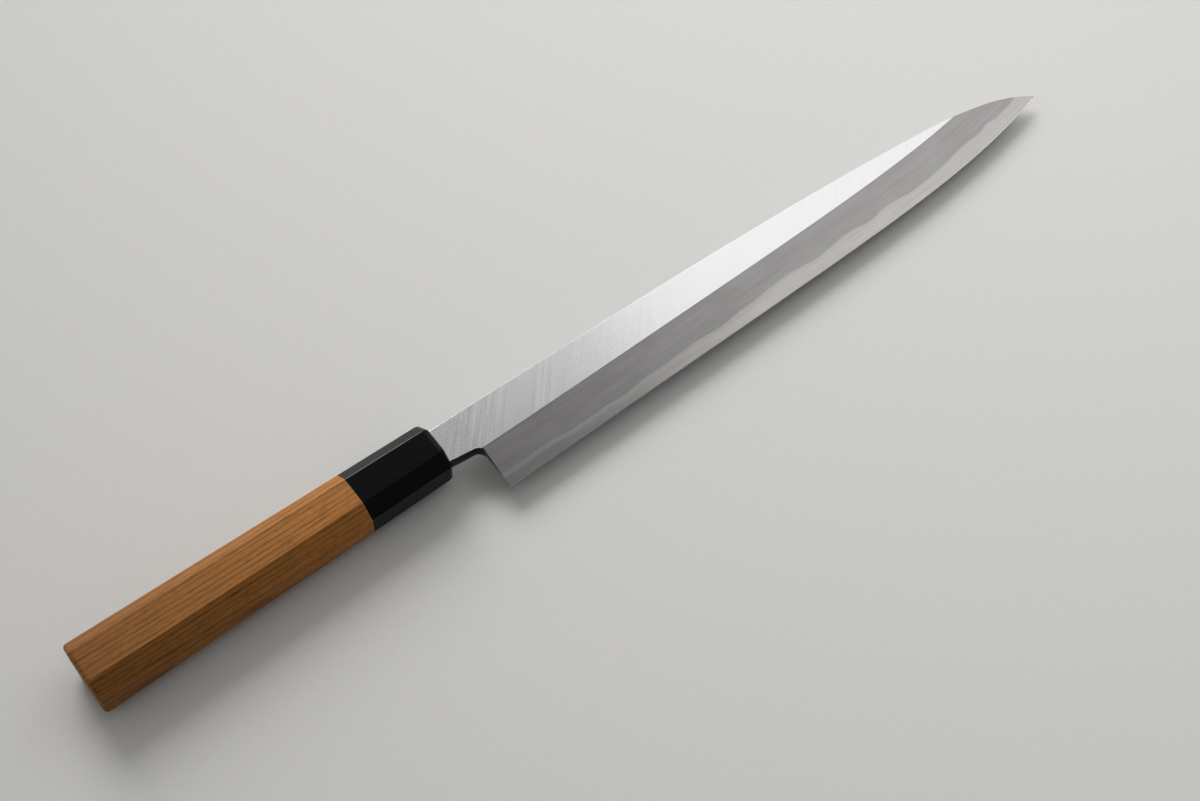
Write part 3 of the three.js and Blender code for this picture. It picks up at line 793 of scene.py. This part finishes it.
def planed_bar(name, front_x, back_x, rim_rounds, finish, joints):
    """A bar of octagon stock, rounded, joined to and cut by other solids, as a plain mesh."""
    front, back = octagon_at(front_x), octagon_at(back_x)
    values = [front_x, front_x - back_x, *front.values(), *back.values(), *rim_rounds, ridge_set_back]
    piece = bpy.data.objects.new(name, bpy.data.meshes.new(name))
    bpy.context.scene.collection.objects.link(piece)
    made = piece.modifiers.new("octagon", "NODES")
    made.node_group = stock
    sockets = [s for s in stock.interface.items_tree if s.in_out == "INPUT"]
    for socket, value in zip(sockets, [*values, finish]):
        made[socket.identifier] = value
    eased = piece.modifiers.new("rounds", "BEVEL")
    eased.limit_method, eased.offset_type = "WEIGHT", "OFFSET"
    eased.width, eased.segments = WIDEST_ROUND, ROUND_SEGMENTS
    for solid, operation in joints:
        cut = piece.modifiers.new(operation.lower(), "BOOLEAN")
        cut.object, cut.operation, cut.solver = solid, operation, "EXACT"
    shaded = piece.modifiers.new("even_facets", "WEIGHTED_NORMAL")
    shaded.weight, shaded.keep_sharp = 100, True
    mesh = bpy.data.meshes.new_from_object(piece.evaluated_get(bpy.context.evaluated_depsgraph_get()))
    piece.modifiers.clear()
    piece.data = mesh
    mesh.name = name
    mesh.materials.clear()
    mesh.materials.append(finish)
    for solid, _ in joints:
        bpy.data.objects.remove(solid)
    print(f"{name}: {len(mesh.polygons)} faces, {finish.name}")
    return piece


print(f"a ridge loses {ridge_set_back:.2f} mm to its round of {RIDGE_ROUND} mm")

# %% Solids for joining and cutting
ROUND_BAR_SIDES = 48


def loose_solid(name, rings):
    """A plain closed solid for joining or cutting."""
    skin = bmesh.new()
    corners = stretch_skin(skin, rings, [0] * rings.shape[1])
    skin.faces.new(corners[0])
    skin.faces.new(corners[-1])
    return close_skin(skin, name, [])


def round_bar(name, diameter, from_x, to_x):
    turn = np.linspace(0, 2 * math.pi, ROUND_BAR_SIDES + 1)[:-1]
    columns = [(diameter / 2 * math.cos(a), diameter / 2 * math.sin(a) - BACK) for a in turn]
    return loose_solid(name, ring_points(np.array([from_x, to_x]), columns))


def slot_rings(x, low, high, thick, back, round_off):
    """Rings of a plate with four equal corners, for a slot."""
    return plate_rings(x, low, high, thick, back, (0.0 * x + round_off,) * 2, round_off, undercut=0.5)


print("round bars have", ROUND_BAR_SIDES, "sides")

# %% [markdown]
# ## The ferrule: polished black horn
# The ferrule is turned from black horn, planed with the handle and buffed. Horn is not quite black: faint
# brown-grey streaks run along it, and buffing leaves a soft gloss rather than a mirror. The wheel rubs the
# ridges hardest, so they are a little glossier and catch the light as thin lines. The front is rounded over.


# %% Black horn
def black_horn(name, gloss_level):
    # The eye sees a deep black with a soft gloss and streaks that show only in strong light.
    finish, tree = new_finish(name)
    spot = add(tree, "ShaderNodeTexCoord").outputs["Object"]
    drawn = add(tree, "ShaderNodeMapping", {
        "Vector": spot, "Scale": (30 * MM, 1.6 * MM, 1.6 * MM),
    }, vector_type="TEXTURE")
    streaks = add(tree, "ShaderNodeTexNoise", {"Vector": drawn, "Scale": 1, "Detail": 3})
    spread = add(tree, "ShaderNodeMapRange", [streaks, 0.45, 0.75])
    tone = add(tree, "ShaderNodeMix", [spread, linear("#040404"), linear("#070706")], data_type="RGBA")
    gloss = add(tree, "ShaderNodeMapRange", [streaks, NOISE_LOW, NOISE_HIGH, 0.23, 0.26])
    shell = add(tree, "ShaderNodeBsdfPrincipled", {
        "Base Color": tone, "Roughness": gloss, "IOR": 1.54, "Specular IOR Level": gloss_level,
    })
    add(tree, "ShaderNodeOutputMaterial", {"Surface": shell})
    return finish


horn, horn_ridge = black_horn("black_horn_buffed", 0.09), black_horn("black_horn_rubbed_ridge", 0.22)
print("finishes:", horn.name, horn_ridge.name)

# %% Cut and plane the ferrule
FIT_GAP = 0.3  # play at the hidden fits
TENON_DIAMETER, TENON_LENGTH = 14.4, 24.0  # the wood's tenon, which the ferrule's socket takes
SEAL_WALL, MOUTH_ROUND = 0.9, 1.6
CUT_PAST = 1.0  # a cutting solid reaches this far past the face that it opens
FERRULE_RIMS = (WIDEST_ROUND, 0.05)  # rounds of its front and back
tenon_end = TENON_LENGTH - FERRULE_LENGTH
socket_end = tenon_end + FIT_GAP
socket = round_bar("socket", TENON_DIAMETER + 2 * FIT_GAP, -FERRULE_LENGTH - CUT_PAST, socket_end)
mouth = loose_solid("mouth", slot_rings(
    np.array([socket_end - CUT_PAST, CUT_PAST]), -NECK_Y - SEAL_WALL, SPINE_Y + SEAL_WALL,
    NECK_THICKNESS + 2 * SEAL_WALL, -SEAL_WALL, MOUTH_ROUND,
))
ferrule = planed_bar(
    "black_horn_ferrule", 0.0, -FERRULE_LENGTH, FERRULE_RIMS, horn,
    [(socket, "DIFFERENCE"), (mouth, "DIFFERENCE")],
)

# %% Rub its ridges
FACET_TURN, RIDGE_TURN = 45, 4  # degrees from facet to facet, and how far a ridge's face turns off one
END_FACE = 0.1  # a face that looks along the handle by more than this belongs to an end
ferrule.data.materials.append(horn_ridge)
rubbed = 0
for facet in ferrule.data.polygons:
    along_handle, out_y, out_z = facet.normal
    past_facet = math.degrees(math.atan2(out_z, out_y)) % FACET_TURN
    on_ridge = RIDGE_TURN < past_facet < FACET_TURN - RIDGE_TURN
    outwards = out_y * facet.center.y + out_z * facet.center.z > 0
    if abs(along_handle) < END_FACE and on_ridge and outwards:
        facet.material_index = 1
        rubbed += 1
print(rubbed, "faces of its ridges are rubbed bright")

# %% [markdown]
# ## The handle: oiled wood
# The wood is split along its grain and planed, so its growth lines run nearly along the handle: dark, broken
# lines of late wood under two millimetres apart. They are layers that stand almost upright, bowed a little
# round the heart of the tree, and near the butt they swerve. A point's place across the layers says where
# it lies in its year. Slow noises bend the layers and vary their widths, faster ones give fibres and pores,
# which are drawn coarser than real ones so that they show. Oil leaves a soft sheen. The colour is also
# painted lighter at the ferrule and darker towards the butt, as painted light and shade falling off along the
# handle.

# %% Growth lines
YEAR = 1.8  # mm of growth
LAYER_BOW = 1 / 140  # the layers bow like shells 140 mm across
LAYER_SWERVE, LAYER_SWAY, LAYER_VARY = -1.6, 2.6, 2.4  # mm: to the butt, along the grain, in width
HALF_GRIP = 55.0  # the wood runs this far, in mm, to each side of the frame's origin
LATE_WOOD = ((0.42, 0.84), (1.0, 0.84))  # parts of the year: it darkens slowly and ends with the winter


def late_wood(tree, split, noise):
    """How dark the year's late wood is at a point, from 0 to about 1."""
    to_butt = add(tree, "ShaderNodeMapRange", [split["X"], HALF_GRIP, -HALF_GRIP])
    swerve = add(tree, "ShaderNodeMath", [to_butt, 2], operation="POWER")
    aside = add(tree, "ShaderNodeMath", [split["Z"], 2], operation="POWER")
    bends = (
        (swerve, LAYER_SWERVE),
        (aside, LAYER_BOW),
        (noise["sway"], LAYER_SWAY),
        (noise["widths"], LAYER_VARY),
    )
    layer = split["Y"]
    for bend, by in bends:
        layer = add(tree, "ShaderNodeMath", [bend, by, layer], operation="MULTIPLY_ADD")
    years = add(tree, "ShaderNodeMath", [layer, YEAR], operation="DIVIDE")
    season = add(tree, "ShaderNodeMath", [years], operation="FRACT")
    shares = [
        add(tree, "ShaderNodeMapRange", [season, *part], interpolation_type="SMOOTHSTEP")
        for part in LATE_WOOD
    ]
    for name, weak, strong in (("veil", 0.35, 0.95), ("breaks", 0.55, 1.2)):
        shares.append(add(tree, "ShaderNodeMapRange", [noise[name], NOISE_LOW, NOISE_HIGH, weak, strong]))
    late = shares[0]
    for share in shares[1:]:
        late = add(tree, "ShaderNodeMath", [late, share], operation="MULTIPLY")
    return late


print("a growth line every", YEAR, "mm")

# %% A small fleck
FLECK_AT, FLECK_SIZE = (1.7, -5.3, 20.0), (3.2, 0.5, 1.6)  # mm, along the grain and across it


def with_fleck(tree, grain, wood):
    """The wood's colour with one small dark fleck in it."""
    near = add(tree, "ShaderNodeMapping", {
        "Vector": grain, "Location": FLECK_AT, "Scale": FLECK_SIZE,
    }, vector_type="TEXTURE")
    away = add(tree, "ShaderNodeVectorMath", [near], operation="LENGTH")
    fleck = add(tree, "ShaderNodeMapRange", [away, 0.2, 1, 0.75, 0])
    return add(tree, "ShaderNodeMix", [fleck, wood, linear("#2c1708")], data_type="RGBA")


print("the fleck is", 2 * FLECK_SIZE[0], "mm long")

# %% How deep the oil went, and painted shade towards the butt
PAINTED_FALLOFF = (1.09, 0.64)  # painted light and shade: how light the wood is painted at the ferrule and at the butt, as if the light fell off along the handle


def oil_grain_and_painted_falloff(tree, split, noise):
    """How light a point is: pale threads of fibre and dark pores, and painted light and shade that fall off
    towards the butt.
    """
    threads = add(tree, "ShaderNodeMapRange", [noise["fibres"], NOISE_LOW, NOISE_HIGH, 0.84, 1.13])
    specks = add(tree, "ShaderNodeMapRange", [noise["pores"], 0.53, 0.73, 1.01, 0.75])
    # painted shade: the wood is painted lighter at the ferrule and darker towards the butt
    painted_falloff = add(tree, "ShaderNodeMapRange", [split["X"], HALF_GRIP, -HALF_GRIP, *PAINTED_FALLOFF])
    grained = add(tree, "ShaderNodeMath", [threads, specks], operation="MULTIPLY")
    return add(tree, "ShaderNodeMath", [grained, painted_falloff], operation="MULTIPLY")


# painted shade: the butt is painted darker than the front
print("the palm leaves the butt", round(PAINTED_FALLOFF[1] / PAINTED_FALLOFF[0], 2), "times as light as the front")

# %% Oiled wood
GRAIN_TILT = math.radians(7)  # the growth layers lean by this much from upright
GRAIN_NOISES = {  # run along the grain and width across it in mm, and detail
    "sway": (150, 11, 2),
    "widths": (300, 3.5, 2),
    "veil": (140, 1.5, 2),
    "breaks": (14, 1.3, 3),
    "fibres": (9, 0.75, 3),
    "pores": (3.2, 0.75, 1),
}


def oiled_wood():
    # The eye sees honey-coloured wood with dark lines, fine fibres and the low sheen of oil.
    finish, tree = new_finish("honey_wood_oiled")
    grain = add(tree, "ShaderNodeMapping", {
        "Vector": add(tree, "ShaderNodeTexCoord").outputs["Object"],
        "Rotation": (GRAIN_TILT, 0, 0), "Scale": (MM, MM, MM),
    }, vector_type="TEXTURE")
    split = add(tree, "ShaderNodeSeparateXYZ", [grain]).outputs
    noise = {}
    for name, (run, across, detail) in GRAIN_NOISES.items():
        laid = add(tree, "ShaderNodeMapping", {
            "Vector": grain, "Scale": (run, across, across),
        }, vector_type="TEXTURE")
        noise[name] = add(tree, "ShaderNodeTexNoise", {"Vector": laid, "Scale": 1, "Detail": detail})
    early = [noise["veil"], linear("#96612a"), linear("#a46c31")]
    pale = add(tree, "ShaderNodeMix", early, data_type="RGBA")
    dark = late_wood(tree, split, noise)
    lined = add(tree, "ShaderNodeMix", [dark, pale, linear("#623a12")], data_type="RGBA")
    marked = with_fleck(tree, grain, lined)
    # the grain's own tone times the painted light and shade along the handle
    grain_and_painted_falloff = oil_grain_and_painted_falloff(tree, split, noise)
    tone = add(tree, "ShaderNodeMix", [1, marked, grain_and_painted_falloff], data_type="RGBA", blend_type="MULTIPLY")
    sheen = add(tree, "ShaderNodeMapRange", [noise["fibres"], NOISE_LOW, NOISE_HIGH, 0.58, 0.48])
    relief = add(tree, "ShaderNodeBump", {"Height": noise["fibres"], "Strength": 0.12, "Distance": 0.06 * MM})
    wood = add(tree, "ShaderNodeBsdfPrincipled", {
        "Base Color": tone, "Roughness": sheen, "IOR": 1.5, "Specular IOR Level": 0.15, "Normal": relief,
    })
    add(tree, "ShaderNodeOutputMaterial", {"Surface": wood})
    return finish


honey_wood = oiled_wood()
print("finish:", honey_wood.name)

# %% Cut and plane the wood
GLUE_LINE = 0.05
TENON_ROOT, MORTISE_SPARE = 2.0, 2.0  # how deep the tenon starts in the bar, and room behind the tang
WOOD_RIMS = (0.05, 1.6)  # rounds of its front and of the butt
seam_x = -FERRULE_LENGTH - GLUE_LINE
tenon = round_bar("tenon", TENON_DIAMETER, seam_x - TENON_ROOT, tenon_end)
mortise_half, mortise_width = TANG_HALF_HEIGHT + FIT_GAP, TANG_THICKNESS + 2 * FIT_GAP
mortise = loose_solid("mortise", slot_rings(
    np.array([TANG_X[0] - MORTISE_SPARE, tenon_end + CUT_PAST]), -mortise_half, mortise_half,
    mortise_width, -BACK - mortise_width / 2, TANG_ROUND + FIT_GAP,
))
handle = planed_bar(
    "octagonal_wood_handle", seam_x, -HANDLE_LENGTH, WOOD_RIMS, honey_wood,
    [(tenon, "UNION"), (mortise, "DIFFERENCE")],
)

# %% [markdown]
# ## The mouth seal: dark resin
# A collar of resin fills the slot round the neck and keeps water out of the handle. It was poured, so its
# face is dished and creeps a little way up the metal. A sleeve of rings round the neck makes it.


# %% Cast resin
def cast_resin():
    # The eye sees a dark, slightly cloudy fill, duller than the horn round it.
    finish, tree = new_finish("dark_resin_cast")
    spot = add(tree, "ShaderNodeTexCoord").outputs["Object"]
    cloud = add(tree, "ShaderNodeTexNoise", {"Vector": spot, "Scale": 900, "Detail": 2})  # clouds of 1.1 mm
    tone = add(tree, "ShaderNodeMix", [cloud, linear("#1d1714"), linear("#352a22")], data_type="RGBA")
    sheen = add(tree, "ShaderNodeMapRange", [cloud, 0, 1, 0.35, 0.55])
    fill = add(tree, "ShaderNodeBsdfPrincipled", {"Base Color": tone, "Roughness": sheen, "IOR": 1.52})
    add(tree, "ShaderNodeOutputMaterial", {"Surface": fill})
    return finish


resin = cast_resin()
print("finish:", resin.name)

# %% Resin collar
SEAL_DEPTH, SEAL_FILM = 4.0, 0.05
SEAL_OUT = SEAL_WALL - SEAL_FILM
SEAL_SECTION = (  # x, and how far out from the neck
    (-SEAL_DEPTH, SEAL_FILM), (-SEAL_DEPTH, SEAL_OUT), (-0.5, SEAL_OUT), (-0.66, 0.65), (-0.7, 0.45),
    (-0.62, 0.2), (-0.42, SEAL_FILM),
)
collar = []
for x, out_by in SEAL_SECTION:
    collar.append(slot_rings(
        np.array([x]), -NECK_Y - out_by, SPINE_Y + out_by, NECK_THICKNESS + 2 * out_by, -out_by,
        NECK_ROUND + out_by,
    )[0])
resin_skin = bmesh.new()
stretch_skin(resin_skin, np.array([*collar, collar[0]]), [0] * len(collar[0]))
mouth_resin = close_skin(resin_skin, "mouth_resin_seal", [resin])

# %% [markdown]
# ## Into the frame
# Each finished mesh is carried from the maker's axes into the library's frame. It then rides on the knife's
# one body, its box is measured against the solid that it refines, and that solid is hidden.

# %% Lay the pieces, measure them against the solids and hide these
for piece, node, slot in (
    (iron_body, "soft_iron_body", "soft_iron"),
    (steel_edge, "hard_steel_edge", "hard_steel"),
    (ferrule, "ferrule", "black_ferrule"),
    (handle, "handle_body", "handle_wood"),
    (mouth_resin, "mouth_seal", "resin_seal"),
):
    piece.data.transform(LAY)
    piece.data.update()
    points = np.array([v.co for v in piece.data.vertices])
    low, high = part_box(node)
    off = max(np.abs(points.min(0) - low).max(), np.abs(points.max(0) - high).max())
    print(f"{piece.name}: its box is within {off / MM:.2f} mm of {node}")
    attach(piece, "root")
    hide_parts(node)

# %% [markdown]
# ## Floor
# A pale paper floor takes the shadow. It reaches far beyond the lamps, where it would fall dark, so away
# from the knife its tone is evened out, for the eye and for what shows in polished metal. Light that falls
# on it still finds plain paper everywhere, and near the knife nothing is changed.

# %% Paper
KNIFE_MIDDLE = (0.16, 0, 0)
EVEN_FROM, EVEN_TO = 0.22, 0.68  # m from there, between which the paper is evened out
PAPER_FIBRE = 2.5  # mm; real fibres are finer and would not show


def pale_paper():
    # The eye sees a plain pale sheet with hardly any tooth.
    finish, tree = new_finish("pale_paper")
    spot = add(tree, "ShaderNodeTexCoord").outputs["Object"]
    fibre = add(tree, "ShaderNodeTexNoise", {"Vector": spot, "Scale": 1 / (PAPER_FIBRE * MM), "Detail": 2})
    tone = add(tree, "ShaderNodeMix", [fibre, linear("#cac9c6"), linear("#cecdca")], data_type="RGBA")
    sheet = add(tree, "ShaderNodeBsdfPrincipled", {
        "Base Color": tone, "Roughness": 0.9, "Specular IOR Level": 0.2,
    })
    away = add(tree, "ShaderNodeVectorMath", [spot, KNIFE_MIDDLE], operation="DISTANCE")
    sweep = add(tree, "ShaderNodeMapRange", [away, EVEN_FROM, EVEN_TO], interpolation_type="SMOOTHSTEP")
    ray = add(tree, "ShaderNodeLightPath").outputs
    seen = add(tree, "ShaderNodeMath", [ray["Is Camera Ray"], ray["Is Glossy Ray"]], operation="MAXIMUM")
    even = add(tree, "ShaderNodeMath", [sweep, seen], operation="MULTIPLY")
    pale = add(tree, "ShaderNodeEmission", {"Color": linear("#cbcac7"), "Strength": 1})
    both = add(tree, "ShaderNodeMixShader", [even, sheet, pale])
    add(tree, "ShaderNodeOutputMaterial", {"Surface": both})
    return finish


paper_finish = pale_paper()
print("finish:", paper_finish.name)

# %% Lay the floor
FLOOR_RADIUS, FLOOR_BELOW = 6, 0.0002  # m; it lies a hair below the knife
paper_skin = bmesh.new()
lowered = Matrix.Translation((0, 0, -FLOOR_BELOW))
bmesh.ops.create_circle(paper_skin, cap_ends=True, segments=96, radius=FLOOR_RADIUS, matrix=lowered)
paper = bpy.data.meshes.new("paper_floor")
paper_skin.to_mesh(paper)
paper_skin.free()
paper.materials.append(paper_finish)
floor = bpy.data.objects.new("paper_floor", paper)
bpy.context.scene.collection.objects.link(floor)
floor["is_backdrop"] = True
print("floor:", [round(v, 2) for v in floor.dimensions])

# %% [markdown]
# ## Light
# Metal shows what it faces. From this side the flat mirrors the room high up beyond the tip, so a wide soft
# panel hangs there: its near edge blurs into the satin, and the flat brightens towards the tip. The bevel
# falls away from the flat and mirrors the darker room beside the panel. A second panel behind the spine, its
# light narrowed to a beam, shapes the handle's facets, and a paler wall low down behind the knife lights
# what faces that way.


# %% Soft panels
def soft_panel(name, place, aim, size, watts, beam=180):
    """A square-cornered lamp of that size in metres; beam is how wide its light spreads, in degrees."""
    lamp = bpy.data.lights.new(name, "AREA")
    lamp.shape, lamp.size, lamp.size_y, lamp.energy = "RECTANGLE", *size, watts
    lamp.spread = math.radians(beam)
    panel = bpy.data.objects.new(name, lamp)
    panel.location = place
    panel.rotation_euler = (Vector(aim) - Vector(place)).to_track_quat("-Z", "Y").to_euler()
    bpy.context.scene.collection.objects.link(panel)
    print(f"{name}: {watts} W over {size[0]:.1f} x {size[1]:.1f} m")


soft_panel("panel_over_tip", (1.1, 0.3, 0.8), (1.1, 0.3, 0.0), (1.2, 1.3), 5.9)
soft_panel("panel_behind_spine", (0.55, 1.15, 0.8), (0.3, 0.0, 0.0), (1.1, 0.8), 3.2, beam=55)

# %% The room
ROOM_LEVEL, WALL_LEVEL = 0.27, 0.8  # strength of the room's light, and of the paler wall
room = bpy.data.worlds.new("studio_room")
room.use_nodes = True
room_tree = room.node_tree
room_tree.nodes.clear()
facing = add(room_tree, "ShaderNodeTexCoord").outputs["Generated"]
towards = add(room_tree, "ShaderNodeSeparateXYZ", [facing]).outputs
low_down, at_back_wall = (
    add(room_tree, "ShaderNodeMapRange", [towards[axis], start, end], interpolation_type="SMOOTHSTEP")
    for axis, start, end in (("Z", 0.75, 0.2), ("Y", -0.4, 0.4))
)
wall = add(room_tree, "ShaderNodeMath", [low_down, at_back_wall], operation="MULTIPLY")
level = add(room_tree, "ShaderNodeMapRange", [wall, 0, 1, ROOM_LEVEL, WALL_LEVEL])
glow = add(room_tree, "ShaderNodeBackground", {"Color": linear("#ffffff"), "Strength": level})
add(room_tree, "ShaderNodeOutputWorld", {"Surface": glow})
bpy.context.scene.world = room
bpy.context.scene.view_settings.view_transform = "Standard"
print(f"{room.name}: strength {ROOM_LEVEL}, rising to {WALL_LEVEL} low down behind the knife")

# %% [markdown]
# ## Camera
# The picture was taken from above the handle's edge side, about 67 cm away, with the knife running up to
# the right. The lens and the camera's place come from a fit of the knife's own outline.

# %% Camera
view = bpy.data.cameras.new("camera")
view.sensor_width, view.lens = 36.0, 56.1
camera = bpy.data.objects.new("camera", view)
camera.location = (-0.06424, -0.27332, 0.60316)
camera.rotation_euler = [math.radians(a) for a in (29.167, -1.187, -37.771)]
bpy.context.scene.collection.objects.link(camera)
bpy.context.scene.camera = camera
print("camera looks down by", round(90 - math.degrees(camera.rotation_euler.x)), "degrees")

# %% [markdown]
# ## Sizes
# The dressed knife has to keep the solids' size, so the largest difference between the two boxes is printed.

# %% Compare the boxes
dressed_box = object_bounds()
off = max(abs(a - b) for c, d in zip(cad_box, dressed_box) for a, b in zip(c, d))
print("largest difference", round(off, 6), "m")
